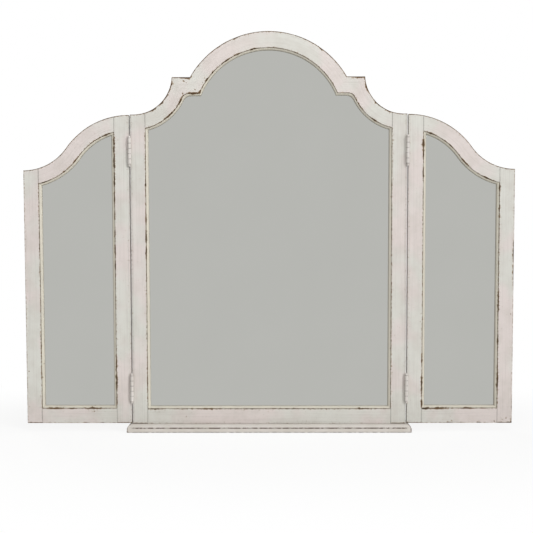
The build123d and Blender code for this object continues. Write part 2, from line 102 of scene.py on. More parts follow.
# Stretches of an edge where the paint is rubbed or knocked off: middle x, middle z, half length,
# how far it reaches in over the face, and depth
RUBS = np.array([
    # Top of the centre frame
    (-300, 775, 14, 2.0, 0.7), (-292, 815, 18, 3.8, 1.15), (-270, 834, 10, 4.4, 1.3),
    (-257, 852, 18, 4.0, 1.3), (-252, 806, 24, 2.8, 0.95), (-247, 873, 16, 3.6, 1.25),
    (-230, 895, 10, 3.0, 1.0), (-226, 838, 20, 2.6, 0.9), (-205, 895, 15, 4.2, 1.1),
    (-188, 857, 20, 2.8, 1.05), (-172, 858, 6, 3.4, 1.1), (-161, 874, 7, 1.8, 0.85),
    (-160, 940, 13, 2.4, 1.0), (-153, 888, 8, 2.4, 0.95), (-138, 905, 10, 2.4, 0.8),
    (-122, 968, 8, 3.2, 1.1), (-106, 934, 18, 2.6, 0.85), (-82, 990, 11, 3.2, 1.1),
    (-78, 950, 14, 2.2, 0.8), (-35, 963, 14, 2.4, 0.95), (30, 966, 30, 1.6, 0.6),
    (56, 998, 9, 2.8, 1.05), (131, 962, 8, 3.6, 1.1), (180, 915, 10, 1.5, 0.7),
    (205, 835, 12, 1.6, 0.65), (225, 818, 16, 2.2, 0.8), (228, 895, 20, 4.4, 1.1),
    (250, 868, 14, 5.0, 1.25), (266, 790, 14, 2.6, 0.9), (276, 832, 12, 5.0, 1.3),
    (302, 812, 9, 4.4, 1.2),
    # Sides and foot of the centre frame
    (-311, 628, 4, 3.0, 1.2), (-311, 540, 22, 2.0, 0.85), (-311, 498, 20, 2.4, 0.95),
    (-311, 458, 22, 2.4, 0.95), (-311, 130, 24, 2.0, 0.7), (-300, 22, 5, 2.0, 0.8),
    (-290, 58, 20, 2.0, 0.8), (-160, 58, 40, 2.2, 0.8), (60, 58, 50, 1.4, 0.6),
    (160, 22, 12, 1.5, 0.7), (240, 58, 26, 2.0, 0.75),
    # Left wing
    (-612, 24, 6, 2.6, 0.9), (-604, 22, 10, 1.8, 0.9), (-583, 22, 6, 1.6, 0.8),
    (-568, 632, 12, 2.2, 0.9), (-560, 690, 16, 1.6, 0.7), (-549, 58, 22, 2.6, 0.95),
    (-517, 662, 5, 3.0, 1.05), (-505, 58, 12, 2.0, 0.8), (-490, 688, 9, 2.2, 0.9),
    (-480, 758, 14, 1.8, 0.8), (-469, 22, 6, 2.2, 0.95), (-448, 58, 15, 16.0, 0.34),
    (-447, 58, 30, 2.5, 0.9), (-425, 738, 12, 2.2, 0.85), (-425, 22, 10, 2.0, 0.95),
    (-405, 750, 11, 2.8, 1.0), (-397, 22, 7, 2.0, 0.9), (-388, 726, 34, 2.4, 1.0),
    (-388, 688, 28, 2.5, 1.0), (-388, 640, 24, 2.4, 0.9), (-388, 595, 22, 2.0, 0.85),
    (-388, 552, 22, 2.0, 0.85), (-388, 505, 22, 1.9, 0.8), (-388, 462, 22, 2.2, 0.9),
    (-388, 425, 20, 1.9, 0.8), (-388, 175, 22, 2.6, 0.85), (-388, 128, 28, 3.2, 0.95),
    (-388, 80, 20, 2.4, 0.85),
    # Right wing
    (388, 730, 13, 4.2, 1.1), (388, 704, 18, 2.8, 1.0), (388, 655, 24, 2.2, 0.9),
    (388, 600, 22, 1.5, 0.7), (388, 185, 22, 2.4, 0.85), (388, 120, 36, 2.6, 0.9),
    (388, 72, 14, 3.0, 0.95), (400, 58, 14, 3.0, 1.0), (408, 753, 14, 2.4, 0.95),
    (434, 58, 26, 3.0, 1.0), (450, 725, 24, 1.8, 0.75), (460, 22, 6, 3.0, 1.05),
    (498, 686, 17, 2.6, 1.0), (505, 58, 22, 2.4, 0.95), (536, 22, 6, 3.0, 1.05),
    (548, 650, 24, 2.2, 0.9), (548, 58, 12, 1.8, 0.8), (581, 655, 16, 2.6, 0.9),
    (581, 620, 16, 2.2, 0.85), (581, 560, 30, 2.0, 0.75), (581, 335, 36, 2.4, 0.85),
    (581, 235, 28, 2.2, 0.8), (581, 130, 44, 2.4, 0.85), (588, 22, 10, 3.4, 1.1),
    (612, 25, 9, 4.2, 1.15), (619, 458, 32, 3.6, 1.1), (619, 402, 28, 3.4, 1.1),
    (619, 230, 16, 1.6, 0.7),
])
# Specks out on the face: middle x, middle z and radius
SPECKS = np.array([
    (-614, 155, 1.8), (-579, 140, 1.5), (-576, 174, 1.8), (-470, 50, 1.3), (-447, 52, 1.6),
    (-303, 759, 1.2), (-239, 879, 1.5), (-215, 855, 1.6), (-212, 886, 1.9), (-212, 38, 1.2),
    (-206, 883, 1.4), (-183, 864, 1.6), (-165, 882, 1.5), (-160, 893, 1.6), (-130, 925, 1.3),
    (420, 50, 1.5), (466, 27, 1.5), (575, 26, 1.6), (596, 30, 2.0), (605, 34, 1.9), (613, 300, 1.4),
])


# Noise and wear

def lattice_noise(x, y, z, size, seed):
    """Smooth noise from 0 to 1: random values at the corners of cubes of the given size, blended
    inside each cube with s * s * (3 - 2 * s) of the way along each side."""
    values = np.random.default_rng(seed).random((32, 32, 32))
    place = np.stack(np.broadcast_arrays(x, y, z), -1) / size
    corner = np.floor(place).astype(int)
    way = place - corner
    way = way * way * (3 - 2 * way)
    total = 0
    for step in np.ndindex(2, 2, 2):
        share = np.prod(np.where(np.array(step) == 1, way, 1 - way), -1)
        i, j, k = np.moveaxis((corner + step) % 32, -1, 0)
        total = total + share * values[i, j, k]
    return total


def bell(distance, half):
    """exp(-(distance / half)^2)"""
    return np.exp(-((distance / half) ** 2))


def knocked(x, z, in_from_edge):
    """How much paint the listed places have lost: the largest of depth * bell(distance from the
    middle, half length) * bell(distance in from the edge, reach), and the specks' own bells. Noise
    of 7 mm and 2.7 mm makes the reach ragged."""
    worst = np.zeros(np.broadcast(x, z).shape)
    ragged = 0.45 + 0.65 * lattice_noise(x, 0, z, 7, 9) + 0.4 * lattice_noise(x, 0, z, 2.7, 10)
    for cx, cz, half, reach, depth in RUBS:
        along = bell(np.hypot(x - cx, z - cz), half)
        worst = np.maximum(worst, depth * along * bell(in_from_edge, reach * ragged))
    for cx, cz, radius in SPECKS:
        worst = np.maximum(worst, 0.8 * bell(np.hypot(x - cx, z - cz), radius))
    return worst


# Paths: each rule maps t from 0 to 1 and the inset from the outer edge to x and z

def in_from_top(inset):
    """Inset along a curved top, where the moulding is a quarter narrower than on the sides."""
    return inset - 0.25 * np.maximum(inset - FACE, 0)


def sag(inset):
    """How far the shoulders and the arch hang lower for their inset: the face is deeper there."""
    return 0.065 * np.minimum(inset, FACE)


def shoulder_level(inset):
    return SHOULDER - in_from_top(inset) - sag(inset)


def knuckle(inset):
    """Rounding between hollow and shoulder, almost sharp outside and soft inside: its radius, the
    middle of its circle, and how far round the hollow it starts."""
    radius = 0.6 + 0.45 * inset
    z = shoulder_level(inset) - radius
    from_middle = COVE_R + in_from_top(inset) + radius
    x = np.sqrt(from_middle**2 - (COVE_Z - z) ** 2) - COVE_X
    return radius, x, z, np.arccos((COVE_Z - z) / from_middle)


def cove(start):
    """Left hollow of the centre frame: a circle about (-COVE_X, COVE_Z) of radius COVE_R + inset,
    turned from the given distance from the middle to the rounding."""
    def rule(t, inset):
        radius = COVE_R + in_from_top(inset)
        first = np.arcsin((COVE_X - start(inset)) / radius)
        turn = first + t * (knuckle(inset)[3] - first)
        return radius * np.sin(turn) - COVE_X, COVE_Z - radius * np.cos(turn)
    return rule


def rounding(t, inset):
    """Left rounding: its circle, turned from the hollow's direction to straight up."""
    radius, x, z, start = knuckle(inset)
    turn = start * (1 - t)
    return x - radius * np.sin(turn), z + radius * np.cos(turn)


def shoulder(t, inset):
    """Left shoulder: a level line from the rounding to the arch's foot."""
    z = shoulder_level(inset)
    head = -knuckle(inset)[1]
    foot = np.sqrt((ARCH_R - in_from_top(inset)) ** 2 - (z + sag(inset) - ARCH_Z) ** 2)
    return -head + t * (head - foot), z + 0 * t


def arch(t, inset):
    """Arch: a circle about (0, ARCH_Z - sag) of radius ARCH_R - inset, from foot to foot."""
    radius = ARCH_R - in_from_top(inset)
    middle = ARCH_Z - sag(inset)
    turn = np.arccos((shoulder_level(inset) - middle) / radius) * (1 - 2 * t)
    return -radius * np.sin(turn), middle + radius * np.cos(turn)


def mirrored(rule):
    """The same rule on the other side of the middle, run the other way."""
    def other(t, inset):
        x, z = rule(1 - t, inset)
        return -x, z
    return other


def crown(hand, start):
    """Crown of a wing: a circle about (WING_IN, CROWN_Z) of radius CROWN_R - inset, turned from the
    given distance from the hinge side to where it runs into the hollow."""
    def rule(t, inset):
        radius = CROWN_R - in_from_top(inset)
        first = np.arcsin(start(inset) / radius)
        turn = first + t * (OGEE_TURN - first)
        return hand * (WING_IN + radius * np.sin(turn)), CROWN_Z + radius * np.cos(turn)
    return rule


def hollow(hand, end):
    """Hollow of a wing: a circle about (WING_OUT, HOLLOW_Z) of radius HOLLOW_R + inset."""
    def rule(t, inset):
        radius = HOLLOW_R + in_from_top(inset)
        last = np.arcsin(end(inset) / radius)
        turn = OGEE_TURN + t * (last - OGEE_TURN)
        return hand * (WING_OUT - radius * np.sin(turn)), HOLLOW_Z - radius * np.cos(turn)
    return rule


def level(first, last, bottom):
    """Straight level run between two x given as functions of the inset, at bottom + inset."""
    def rule(t, inset):
        return first(inset) + t * (last(inset) - first(inset)), bottom + inset + 0 * t
    return rule


def rise(side, bottom, top):
    """Straight upright run at an x that is a function of the inset, between two heights."""
    def rule(t, inset):
        return side(inset) + 0 * t, bottom(inset) + t * (top(inset) - bottom(inset))
    return rule


def follow(path, inset):
    """Points of a path for each row's insets. Every part of the path takes its own rows."""
    xs, zs, row = [], [], 0
    for rule, t in path:
        x, z = rule(t[:, None], inset[row:row + len(t)])
        xs.append(x)
        zs.append(z)
        row += len(t)
    return np.vstack(xs), np.vstack(zs)


def shares(length, start=(), end=(), skip=False):
    """Stations about one pitch apart, as shares of the length, with finer ones from either end.
    The length only sets their number, so it need not be exact. Skip drops the first one, which the
    part before it has."""
    low = start[-1] if start else 0.0
    high = length - (end[-1] if end else 0.0)
    middle = np.linspace(low, high, max(2, int(round((high - low) / PITCH)) + 1))
    first = [0.0, *start[:-1]] if start else []
    last = [length - step for step in reversed(end[:-1])] + [length] if end else []
    t = np.array([*first, *middle, *last]) / length
    return t[1:] if skip else t


SEAM = (0.3, 0.7, 1.4, 2.5)
OPEN_END = (0.12, 0.35, 0.7, 1.0, 1.8)


def crest_path(start, fine=()):
    """Whole top of the centre frame, from one start to its mirror image."""
    reach = COVE_R + FACE / 2
    return [
        (cove(start), shares(reach, fine)),
        (rounding, shares(18, skip=True)),
        (shoulder, shares(40, skip=True)),
        (arch, shares(440, skip=True)),
        (mirrored(shoulder), shares(40, skip=True)),
        (mirrored(rounding), shares(18, skip=True)),
        (mirrored(cove(start)), shares(reach, (), fine, skip=True)),
    ]


def wing_top_path(hand, end, fine=()):
    """Whole top of a wing, from the hinge side to the outer side."""
    return [
        (crown(hand, end), shares(150, fine)),
        (hollow(hand, end), shares(110, (), fine, skip=True)),
    ]


def cove_side_top(inset):
    """Height at which the side of the centre outline runs into the hollow."""
    reach = np.maximum(0, COVE_X - (HALF_WIDTH - inset))
    return COVE_Z - np.sqrt((COVE_R + in_from_top(inset)) ** 2 - reach**2)


def crown_side_top(inset):
    return CROWN_Z + np.sqrt((CROWN_R - in_from_top(inset)) ** 2 - inset**2)


def hollow_side_top(inset):
    return HOLLOW_Z - np.sqrt((HOLLOW_R + in_from_top(inset)) ** 2 - inset**2)


# Heights of the outer edge over a stile, by the distance from its outer side

def over_cove(a):
    """Top of a centre stile: level at first, then the circle of the hollow."""
    return COVE_Z - np.sqrt(COVE_R**2 - np.clip(a - STILE_LEVEL, 0, None) ** 2)


def over_crown(a):
    return CROWN_Z + np.sqrt(CROWN_R**2 - a**2)


def over_hollow(a):
    return HOLLOW_Z - np.sqrt(HOLLOW_R**2 - a**2)


# Meshes

def quads(values):
    """Values at the four corners of each quad between neighbours in a table of rows."""
    corners = [values[:-1, :-1], values[:-1, 1:], values[1:, 1:], values[1:, :-1]]
    return np.stack(corners, -1).reshape(-1, 4)


def end_faces(loop, pairs, last_side):
    """Polygons that close an end, as places in the loop: a single one, or quads between the first
    points of the loop and those that face them across it."""
    if not pairs:
        return [list(range(loop))]
    far = loop - last_side - 1 - np.arange(pairs)
    first = [0, 1, far[1], far[0], *range(far[0] + 1, loop)]
    between = [[j, j + 1, far[j + 1], far[j]] for j in range(1, pairs - 2)]
    last = [pairs - 2, pairs - 1, *range(pairs, far[-1]), far[-1], far[-2]]
    return [first, *between, last]


def solid(name, x, y, z, u, v, wear, grime_and_shade, pairs=0, last_side=0):
    """Closed mesh of rows of loop points, in millimetres. Neighbouring rows are joined by quads.
    The map has u along the grain and v across it."""
    rows, loop = x.shape
    index = np.arange(rows * loop).reshape(rows, loop)
    sides = quads(np.hstack([index, index[:, :1]]))
    side_u = quads(np.broadcast_to(u, (rows, loop + 1)))
    side_v = quads(np.broadcast_to(v, (rows, loop + 1)))
    ends = end_faces(loop, pairs, last_side)
    caps = [index[0][end[::-1]] for end in ends] + [index[-1][end] for end in ends]
    co = np.stack([x, y, z], -1).reshape(-1, 3) / 1000
    a, b, c, d = (co[sides[:, k]] - co.mean(0) for k in range(4))
    outward = (np.cross(b - a, c - a) * a).sum() + (np.cross(c - a, d - a) * a).sum()
    if outward < 0:
        sides, side_u, side_v = sides[:, ::-1], side_u[:, ::-1], side_v[:, ::-1]
        caps = [cap[::-1] for cap in caps]
    cap_corners = np.concatenate(caps)
    corners = np.concatenate([sides.ravel(), cap_corners])
    sizes = np.concatenate([np.full(len(sides), 4), [len(cap) for cap in caps]])
    mesh = bpy.data.meshes.new(name)
    mesh.vertices.add(len(co))
    mesh.vertices.foreach_set("co", co.astype(np.float32).ravel())
    mesh.loops.add(len(corners))
    mesh.loops.foreach_set("vertex_index", corners.astype(np.int32))
    mesh.polygons.add(len(sizes))
    mesh.polygons.foreach_set("loop_start", np.append(0, np.cumsum(sizes)[:-1]).astype(np.int32))
    mesh.polygons.foreach_set("use_smooth", np.ones(len(sizes), bool))
    mesh.update(calc_edges=True)
    uv = np.stack([side_u.ravel(), side_v.ravel()], -1) / 1000
    uv = np.concatenate([uv, co[cap_corners][:, [1, 0]]])
    mesh.uv_layers.new(name="grain").data.foreach_set("uv", uv.astype(np.float32).ravel())
    for label, amount in (("wear", wear), ("grime_and_shade", grime_and_shade)):
        kept = mesh.attributes.new(label, "FLOAT", "POINT")
        kept.data.foreach_set("value", np.clip(amount, 0, 1).astype(np.float32).ravel())
    mesh.validate()
    mesh.set_sharp_from_angle(angle=CRISP)
    piece = bpy.data.objects.new(name, mesh)
    bpy.context.scene.collection.objects.link(piece)
    return piece


def dress(piece, material, body, node):
    """Give a finished piece its material in a slot and its body, and hide the node that it stands for."""
    piece.data.materials.append(material)
    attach(piece, body)
    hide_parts(node)


def running_length(x, z):
    """Distance along the rows, through the middle of the loop."""
    middle_x, middle_z = x.mean(1), z.mean(1)
    return np.append(0, np.cumsum(np.hypot(np.diff(middle_x), np.diff(middle_z))))


def girth(a, y):
    """Distance round a loop, with the way back to its first point."""
    return np.append(0, np.cumsum(np.hypot(np.diff(np.append(a, a[0])), np.diff(np.append(y, y[0])))))


# Section of a stile or rail: the inset and depth of each point of the loop, and how far it follows
# the radius of the rounded arris. The front runs from the outer edge in, then the side of the
# opening, the back, which faces the front point by point, and the outer side.
near_edge = np.array([2.4, 3.2, 4.5])
face_in = np.linspace(6.5, FACE - 6.5, 13)
face_in = np.append(face_in[np.abs(face_in - RABBET) > 0.8], [RABBET - 0.1, RABBET + 0.1])
face_in = np.sort(np.concatenate([face_in, near_edge, FACE - near_edge]))
front_a = np.concatenate([0 * ARRIS_STEPS, face_in, FACE + 0 * ARRIS_STEPS])
front_ka = np.concatenate([1 - np.cos(ARRIS_STEPS), 0 * face_in, np.cos(ARRIS_STEPS[::-1]) - 1])
front_ky = np.concatenate([1 - np.sin(ARRIS_STEPS), 0 * face_in, 1 - np.sin(ARRIS_STEPS[::-1])])
inner_y = np.array([-19.2, -16.5, -13.0, -10.5])
back_a = np.concatenate([np.linspace(0.5, 2, 4), face_in, np.linspace(FACE - 2, FACE, 4)])[::-1]
outer_y = np.array([BACK - 0.8, -3.5, -7.0, -11.0, -15.0, -19.2])
PAIRS = len(front_a)
rest = np.zeros(len(inner_y) + len(back_a) + len(outer_y))
loop_a = np.concatenate([front_a, FACE + 0 * inner_y, back_a, 0 * outer_y])
loop_y = np.concatenate([FRONT + 0 * front_a, inner_y, BACK + 0 * back_a, outer_y])
loop_ka = np.append(front_ka, rest)
loop_ky = np.append(front_ky, rest)
is_front = np.arange(len(loop_a)) < PAIRS
in_rabbet = ~is_front & (loop_y == BACK) & (loop_a > RABBET)


def board_wear(x, y, z, inset, tip, closed, rubbed, seed):
    """Paint that a stile or rail has lost: along the glass, the outer arris, an open end and the
    wall, at the listed knocks, and a little within some 6 mm of every edge."""
    patchy = 0.55 * lattice_noise(x, seed, z, 37, 11) + 0.45 * lattice_noise(x, y, z, 11, 12)

    def rub(distance, reach, least, more):
        """Wear that falls with the distance from an edge; there the noise brings it from least up
        to least + more."""
        return bell(distance, reach) * (least + more * patchy)

    inside = (FACE - inset) + COVERED * closed
    nearest = np.minimum(np.minimum(inset, tip), inside)
    by_glass = rub(inside, reach=1.4, least=0.20, more=0.58) * (y < FRONT + 3)
    by_air = rub(inset, reach=2.0, least=rubbed, more=0.5) * (y < FRONT + 2.5)
    by_end = rub(tip, reach=2.0, least=0.6, more=0.5) * (y < FRONT + 2.5)
    by_wall = rub(y - BACK, reach=1.2, least=0.2, more=0.6) * bell(inset, 1.5)
    wear = np.maximum(np.maximum(by_glass, by_air), np.maximum(by_end, by_wall))
    wear = np.maximum(wear, knocked(x, z, nearest) * (y < FRONT + 7))
    return np.maximum(wear, 0.14 * bell(np.minimum(inset, inside), 6) * is_front)


def board_grime_and_shade(y, z, inset, seam, closed, gap_shade):
    """Darkening of a stile or rail: painted shade in the crevice beside the moulding, grime in the
    joints and along the outer arris, darker towards the foot, and painted shade by the hinge gap."""
    # Painted shade in the crevice where the frame's inner side meets the moulding.
    reveal = (y > FRONT + 0.4) & (y < GLASS_FRONT)
    joint = np.maximum(seam, bell(FACE - inset, 0.7) * closed)
    grime_and_shade = np.maximum(0.7 * bell(FACE - inset, 0.9) * reveal, 0.7 * joint * is_front)
    grime_and_shade = np.maximum(grime_and_shade, 0.3 * bell(inset, 0.7) * is_front)
    # Darker towards the foot.
    grime_and_shade = np.maximum(grime_and_shade, 0.11 * bell(z - PLINTH_TOP, 70))
    # Painted shade in a band beside the outer arris, where a stile stands by the hinge gap.
    return np.maximum(grime_and_shade, gap_shade * bell(inset, 4) * is_front)


def board(node, body, path, rabbet, seam, tip, open_inside, rubbed, seed, gap_shade=0.0):
    """Stile or rail: its section carried along a path. The radius of each arris wanders a little
    along the piece and grows where the paint is rubbed. The back drops to the rabbet's floor where
    there is one, the face dips by a hair at a seam, and it rounds over at an open end. Rubbed is
    the least wear along its outer arris, below 0 where only the worst of the noise shows; the last
    argument is the painted shade in a band 4 mm wide beside it, where it stands by the hinge gap."""
    rows = len(rabbet)
    edge_x, edge_z = follow(path, np.tile([0.0, FACE], (rows, 1)))
    wander = lattice_noise(edge_x, seed, edge_z, 23, 5)
    radius = ARRIS * (0.85 + 0.3 * wander)
    radius += (WORN_ARRIS - ARRIS) * np.minimum(knocked(edge_x, edge_z, 0), 1)
    radius[:, 1] *= 0.4 + 0.6 * open_inside
    by_side = np.where(loop_a < FACE / 2, radius[:, :1], radius[:, 1:])
    inset = loop_a + loop_ka * by_side
    y = loop_y + loop_ky * by_side
    y = np.where(in_rabbet & rabbet[:, None], GLASS_BACK, y)
    x, z = follow(path, inset)
    near_tip = np.clip(1 - tip / ARRIS, 0, 1)
    over = ARRIS * (1 - np.sqrt(1 - near_tip**2)) + SEAM_DIP * seam
    y = np.where(is_front, np.maximum(y, FRONT + over[:, None]), y)

    closed = 1 - open_inside[:, None]
    wear = board_wear(x, y, z, inset, tip[:, None], closed, rubbed, seed)
    grime_and_shade = board_grime_and_shade(y, z, inset, seam[:, None], closed, gap_shade)
    along = running_length(x, z)[:, None]
    around = girth(loop_a, loop_y)
    piece = solid(node + "_worn", x, y, z, along, around, wear, grime_and_shade, PAIRS, len(outer_y))
    dress(piece, furniture_paint, body, node)


def stile(node, body, x_out, inward, bottom, top_over, side_top, rubbed, seed, gap_shade=0.0):
    """Upright member. Its rows are level below and follow the outline in the last 60 mm; the
    rabbet runs from 30 mm above the foot to the outline drawn 30 mm in."""
    lowest = float(np.min(top_over(np.linspace(0, FACE, 40))))
    height = lowest - bottom
    stops = np.array([RABBET, side_top(float(RABBET)) - bottom])
    s = np.concatenate([height * shares(height, OPEN_END, OPEN_END), stops - 0.1, stops + 0.1])
    s = np.sort(s)
    s = s[np.append(True, np.diff(s) > 0.05)]
    lift = np.clip((s - (height - TOP_ZONE)) / TOP_BEND, 0, 1)

    def rule(t, inset):
        return x_out + inward * inset, bottom + t + lift[:, None] * (top_over(inset) - lowest)

    rabbet = (s > stops[0]) & (s < stops[1])
    open_inside = ((s > FACE) & (s < side_top(float(FACE)) - bottom)).astype(float)
    tip = np.minimum(s, height - s)
    board(node, body, [(rule, s)], rabbet, 0 * s, tip, open_inside, rubbed, seed, gap_shade)


def rail(node, body, path, rubbed, seed):
    """Member between two stiles. Its face dips at both ends, where the joint has opened a hair."""
    rows = sum(len(t) for _, t in path)
    run = running_length(*follow(path, np.full((rows, 1), FACE / 2)))
    seam = np.clip(1 - np.minimum(run, run[-1] - run) / 0.9, 0, 1)
    rabbet, tip, open_inside = np.ones(rows, bool), np.full(rows, ABSENT), np.ones(rows)
    board(node, body, path, rabbet, seam, tip, open_inside, rubbed, seed)


# Section of the moulding round the glass: from the frame a crest that leans to the glass by about
# 30 degrees, then part of an ellipse turned from 0 to 80 degrees, to a small step on the glass.
OVAL_WIDE = 3.8
OVAL_DEEP = 6.1
bead_turns = np.radians(np.linspace(0, 80, 12))
bead_a, bead_y = np.array([
    (BEAD_IN, GLASS_FRONT), (BEAD_IN, -17.0), (BEAD_IN, -20.6),
    (BEAD_IN + 0.3, -21.4), (39.2, -21.7), (40.3, -21.1),
    *[(41.3 + OVAL_WIDE * np.sin(turn), -20.5 + OVAL_DEEP * (1 - np.cos(turn))) for turn in bead_turns],
    (45.1, -14.6), (SIGHT, -14.2), (SIGHT, GLASS_FRONT), (42.0, GLASS_FRONT),
]).T


def bead(node, body, path, seed):
    """Planted moulding: that section carried along a path whose ends lie on the mitre lines."""
    rows = sum(len(t) for _, t in path)
    inset = np.tile(bead_a, (rows, 1))
    y = np.tile(bead_y, (rows, 1))
    x, z = follow(path, inset)
    patchy = 0.6 * lattice_noise(x, seed, z, 27, 21) + 0.4 * lattice_noise(x, y, z, 7, 22)
    wear = bell(inset - (BEAD_IN + 0.5), 0.6) * (0.15 + 0.5 * patchy)
    wear = np.maximum(wear, 0.8 * knocked(x, z, inset - FACE))
    # Painted shade: darker in the crevice against the frame, and on the moulding's lower side by the
    # glass, where it stands for shade and for the dark reflection of that side in the mirror.
    in_gap = bell(inset - (BEAD_IN + 0.1), 0.8)
    on_glass = bell(y - GLASS_FRONT, 3.8)
    grime_and_shade = 0.7 * np.maximum(in_gap, on_glass)
    along = running_length(x, z)[:, None]
    around = girth(bead_a, bead_y)
    piece = solid(node + "_worn", x, y, z, along, around, wear, grime_and_shade)
    dress(piece, moulding_paint, body, node)


# Materials

def colour(code):
    """sRGB hex to the linear colour that a socket takes."""
    parts = [int(code[k:k + 2], 16) / 255 for k in (1, 3, 5)]
    return (*[c / 12.92 if c <= 0.04045 else ((c + 0.055) / 1.055) ** 2.4 for c in parts], 1)


def add(tree, kind, links=None, out=0, **settings):
    """Add a node and return one of its outputs. Settings are its own properties; links give each
    socket, by name or number, a value or another node's output."""
    made = tree.nodes.new("ShaderNode" + kind)
    for key, value in settings.items():
        setattr(made, key, value)
    for key, value in (links or {}).items():
        if isinstance(value, bpy.types.NodeSocket):
            tree.links.new(value, made.inputs[key])
        else:
            made.inputs[key].default_value = value
    return made.outputs[out] if len(made.outputs) else made


# Sockets by number: the range node takes the value, the two limits (1, 2) and what they become
# (3, 4), 0 and 1 unless given. The mix of colours takes the share (0) and the colours (6, 7).
# Settings that many nodes share: a value eased between its limits, a colour between two, and
# value * factor + term
EASED = {"interpolation_type": "SMOOTHSTEP"}
BETWEEN = {"out": 2, "data_type": "RGBA"}
TIMES_PLUS = {"operation": "MULTIPLY_ADD"}
TIMES = {"operation": "MULTIPLY"}


def fresh(name, **constants):
    """A new material: itself, its tree, and a function that plugs its principled shader."""
    material = bpy.data.materials.new(name)
    material.use_nodes = True
    tree = material.node_tree
    shader = next(n for n in tree.nodes if n.type == "BSDF_PRINCIPLED")
    for socket, value in constants.items():
        shader.inputs[socket.replace("_", " ")].default_value = value

    def plug(**sockets):
        for socket, value in sockets.items():
            tree.links.new(value, shader.inputs[socket.replace("_", " ")])
    return material, tree, plug


def worn_paint(name, warm, cool, rubbed):
    """Brushed furniture paint over stained wood. The coat drifts between a warm and a cool white
    over about 110 mm, is cloudy over 40 mm and has brush lines along the member. Wear plus noise of
    6 mm and 2.5 mm passes one limit where the coat is thinned and a second where wood is bare."""
    material, tree, plug = fresh(name, Specular_IOR_Level=0.35)
    where = add(tree, "TexCoord", out="Object")
    grain = add(tree, "UVMap", uv_map="grain")
    wear = add(tree, "Attribute", out="Fac", attribute_name="wear")
    grime_and_shade = add(tree, "Attribute", out="Fac", attribute_name="grime_and_shade")
    drift = add(tree, "TexNoise", {"Vector": where, "Scale": 9, "Detail": 2})
    clouds = add(tree, "TexNoise", {"Vector": where, "Scale": 26, "Detail": 3, "Roughness": 0.6})
    patches = add(tree, "TexNoise", {"Vector": where, "Scale": 170, "Detail": 2})
    crumbs = add(tree, "TexNoise", {"Vector": where, "Scale": 400, "Detail": 3, "Roughness": 0.65})
    # Real bristles leave lines about 0.5 mm apart. These are 3 mm apart, so that they show.
    brushed = add(tree, "Mapping", {0: grain, 3: (5, 320, 1)})
    bristles = add(tree, "TexNoise", {"Vector": brushed, "Scale": 1, "Detail": 3, "Roughness": 0.6})
    fibrous = add(tree, "Mapping", {0: grain, 3: (14, 520, 1)})
    fibres = add(tree, "TexNoise", {"Vector": fibrous, "Scale": 1, "Detail": 4})

    share = add(tree, "MapRange", {0: drift, 1: 0.4, 2: 0.6}, **EASED)
    coat = add(tree, "Mix", {0: share, 6: colour(warm), 7: colour(cool)}, **BETWEEN)
    share = add(tree, "MapRange", {0: clouds, 1: 0.35, 2: 0.75, 4: 0.35}, **EASED)
    coat = add(tree, "Mix", {0: share, 6: coat, 7: colour("#C2BBB2")}, **BETWEEN)
    share = add(tree, "MapRange", {0: bristles, 1: 0.45, 2: 0.8, 4: 0.30}, **EASED)
    coat = add(tree, "Mix", {0: share, 6: coat, 7: colour("#A69F97")}, **BETWEEN)
    share = add(tree, "MapRange", {0: fibres, 1: 0.3, 2: 0.7}, **EASED)
    wood = add(tree, "Mix", {0: share, 6: colour("#32271B"), 7: colour("#6F5539")}, **BETWEEN)

    ragged = add(tree, "Math", {0: patches, 1: 0.95, 2: -0.92}, **TIMES_PLUS)
    ragged = add(tree, "Math", {0: crumbs, 1: 0.9, 2: ragged}, **TIMES_PLUS)
    gone = add(tree, "Math", {0: wear, 1: ragged})
    thin = add(tree, "MapRange", {0: gone, 1: 0.22, 2: 0.46}, **EASED)
    bare = add(tree, "MapRange", {0: gone, 1: 0.46, 2: 0.58}, **EASED)
    seen = add(tree, "Mix", {0: thin, 6: coat, 7: colour(rubbed)}, **BETWEEN)
    # Dark brown over the grime in the joints and along arrises, and as painted shade in crevices, beside
    # the hinge gaps and on the mouldings near the glass.
    darkening_share = add(tree, "Math", {0: patches, 1: 0.8, 2: 0.45}, **TIMES_PLUS)
    darkening_share = add(tree, "Math", {0: grime_and_shade, 1: darkening_share}, **TIMES)
    seen = add(tree, "Mix", {0: darkening_share, 6: seen, 7: colour("#463A2E")}, **BETWEEN)
    seen = add(tree, "Mix", {0: bare, 6: seen, 7: wood}, **BETWEEN)
    sheen = add(tree, "Math", {0: clouds, 1: 0.16, 2: 0.42}, **TIMES_PLUS)
    sheen = add(tree, "Math", {0: bare, 1: 0.22, 2: sheen}, **TIMES_PLUS)
    height = add(tree, "Math", {0: crumbs, 1: 0.25, 2: 0.0}, **TIMES_PLUS)
    height = add(tree, "Math", {0: bristles, 1: 0.4, 2: height}, **TIMES_PLUS)
    height = add(tree, "Math", {0: bare, 1: -0.9, 2: height}, **TIMES_PLUS)
    bump = add(tree, "Bump", {"Height": height, "Distance": 0.00012, "Strength": 0.8})
    plug(Base_Color=seen, Roughness=sheen, Normal=bump)
    return material


# White eggshell paint, brushed on stained wood and rubbed through at the arrises: warm grey white
# with faint brush lines, brown wherever hands and knocks have taken it off.
furniture_paint = worn_paint("rubbed_eggshell_paint", "#DED4D0", "#D9D8D1", "#A5927C")
# The same paint on the mouldings, yellowed where dusting has missed it.
moulding_paint = worn_paint("yellowed_moulding_paint", "#D4CEBF", "#D1CCBD", "#8F7F66")


# Axis of the round on the plinth's ends, in metres
ROUND_X = 0.3525
ROUND_Z = 0.0115


